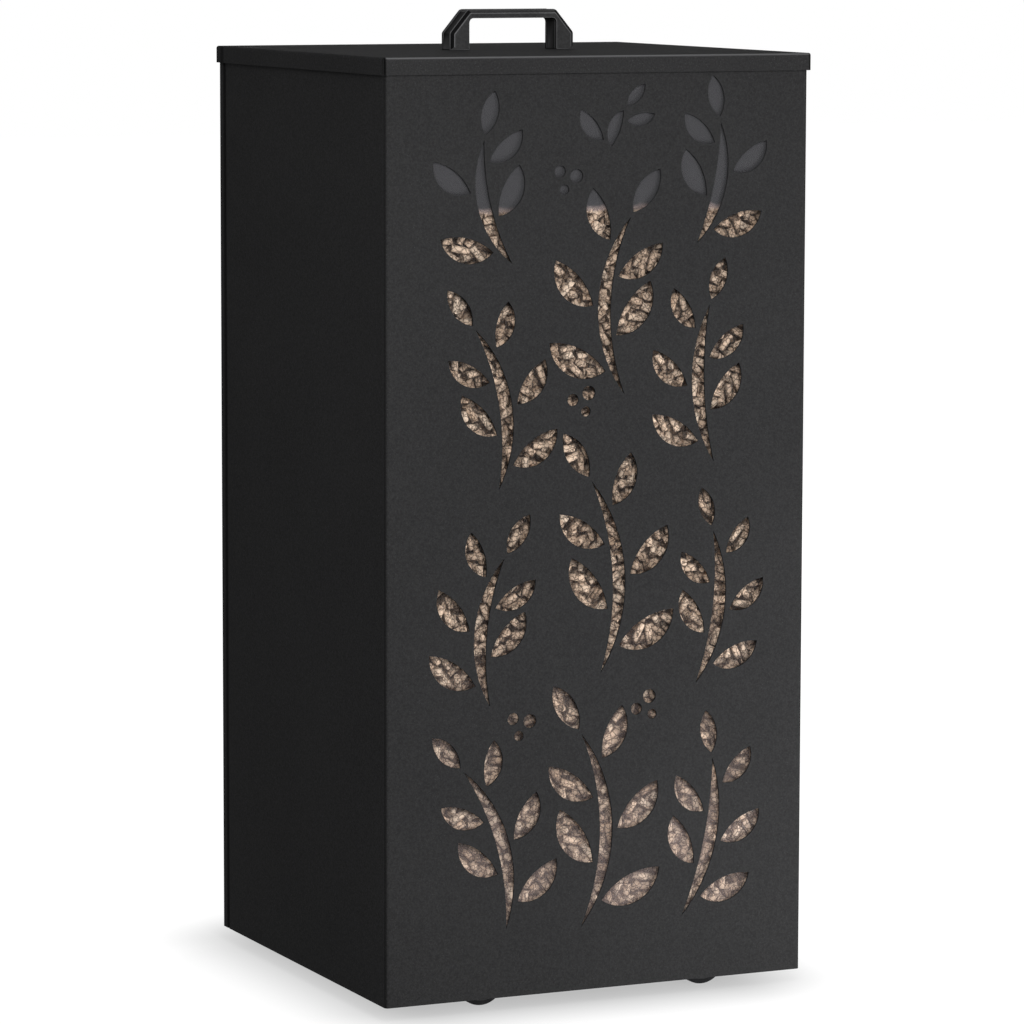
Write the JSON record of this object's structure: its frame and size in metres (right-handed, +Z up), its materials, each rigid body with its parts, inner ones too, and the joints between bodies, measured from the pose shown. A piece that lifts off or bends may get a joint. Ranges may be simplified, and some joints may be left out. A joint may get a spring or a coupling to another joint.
{
  "type": "pellet storage bin",
  "caption": "Tall rectangular sheet-steel bin on swivel castors, with a lift-off lid, a bridge handle and a leaf-pattern cut-out front over a clear pane.",
  "frame": {"origin": "centre of the footprint, on the floor under the wheels", "axes": "+Z up, front panel faces -Y, +X to the right as seen from the front"},
  "size_m": [0.3644, 0.3484, 0.776],
  "materials": {
    "black_coat": "fine matt powder coat",
    "handle_plastic": "moulded, fine grain",
    "clear_pane": "clear, glossy",
    "soft_rubber": "matt",
    "zinc_hardware": "bright zinc plate",
    "castor_zinc": "zinc plate, slightly dull",
    "wheel_plastic": "moulded",
    "tyre_rubber": "matt",
    "pellet_wood": "pressed softwood"
  },
  "bodies": {
    "cabinet": {"front_panel": "black_coat", "left_panel": "black_coat", "right_panel": "black_coat", "back_panel": "black_coat", "rim_front": "black_coat", "rim_left": "black_coat", "rim_right": "black_coat", "rim_back": "black_coat", "seam_return_left": "black_coat", "seam_return_right": "black_coat", "floor_panel": "black_coat", "seam_rivets": "zinc_hardware", "window_pane": "clear_pane", "window_seal": "soft_rubber", "window_rail_left": "black_coat", "window_rail_right": "black_coat", "window_studs": "zinc_hardware", "window_nuts": "zinc_hardware", "pane_blocks": "soft_rubber", "pellet_fill": "pellet_wood", "castor_screws": "zinc_hardware", "castor_nuts": "zinc_hardware", "castor_plate_fl": "castor_zinc", "castor_plate_fr": "castor_zinc", "castor_plate_bl": "castor_zinc", "castor_plate_br": "castor_zinc", "king_pin_fl": "castor_zinc", "king_pin_fr": "castor_zinc", "king_pin_bl": "castor_zinc", "king_pin_br": "castor_zinc", "swivel_race_fl": "castor_zinc", "swivel_race_fr": "castor_zinc", "swivel_race_bl": "castor_zinc", "swivel_race_br": "castor_zinc"},
    "lid": {"lid_panel": "black_coat", "lid_handle": "handle_plastic", "handle_screws": "zinc_hardware", "handle_washers": "zinc_hardware", "lid_pads": "soft_rubber"},
    "castor_fl": {"castor_fork_fl": "castor_zinc", "castor_axle_fl": "castor_zinc"},
    "wheel_fl": {"castor_wheel_fl": "wheel_plastic", "castor_tyre_fl": "tyre_rubber"},
    "castor_fr": {"castor_fork_fr": "castor_zinc", "castor_axle_fr": "castor_zinc"},
    "wheel_fr": {"castor_wheel_fr": "wheel_plastic", "castor_tyre_fr": "tyre_rubber"},
    "castor_bl": {"castor_fork_bl": "castor_zinc", "castor_axle_bl": "castor_zinc"},
    "wheel_bl": {"castor_wheel_bl": "wheel_plastic", "castor_tyre_bl": "tyre_rubber"},
    "castor_br": {"castor_fork_br": "castor_zinc", "castor_axle_br": "castor_zinc"},
    "wheel_br": {"castor_wheel_br": "wheel_plastic", "castor_tyre_br": "tyre_rubber"}
  },
  "joints": [
    {"name": "lid_lift", "type": "slide", "parent": "cabinet", "child": "lid", "axis": [0, 0, 1], "range_m": [0, 0.18]},
    {"name": "castor_swivel_fl", "type": "hinge", "parent": "cabinet", "child": "castor_fl", "pos_m": [-0.097, -0.126, 0.0439], "axis": [0, 0, 1], "continuous": true},
    {"name": "wheel_spin_fl", "type": "hinge", "parent": "castor_fl", "child": "wheel_fl", "pos_m": [-0.082, -0.126, 0.02], "axis": [0, 1, 0], "continuous": true},
    {"name": "castor_swivel_fr", "type": "hinge", "parent": "cabinet", "child": "castor_fr", "pos_m": [0.097, -0.126, 0.0439], "axis": [0, 0, 1], "continuous": true},
    {"name": "wheel_spin_fr", "type": "hinge", "parent": "castor_fr", "child": "wheel_fr", "pos_m": [0.112, -0.126, 0.02], "axis": [0, 1, 0], "continuous": true},
    {"name": "castor_swivel_bl", "type": "hinge", "parent": "cabinet", "child": "castor_bl", "pos_m": [-0.097, 0.126, 0.0439], "axis": [0, 0, 1], "continuous": true},
    {"name": "wheel_spin_bl", "type": "hinge", "parent": "castor_bl", "child": "wheel_bl", "pos_m": [-0.082, 0.126, 0.02], "axis": [0, 1, 0], "continuous": true},
    {"name": "castor_swivel_br", "type": "hinge", "parent": "cabinet", "child": "castor_br", "pos_m": [0.097, 0.126, 0.0439], "axis": [0, 0, 1], "continuous": true},
    {"name": "wheel_spin_br", "type": "hinge", "parent": "castor_br", "child": "wheel_br", "pos_m": [0.112, 0.126, 0.02], "axis": [0, 1, 0], "continuous": true}
  ]
}
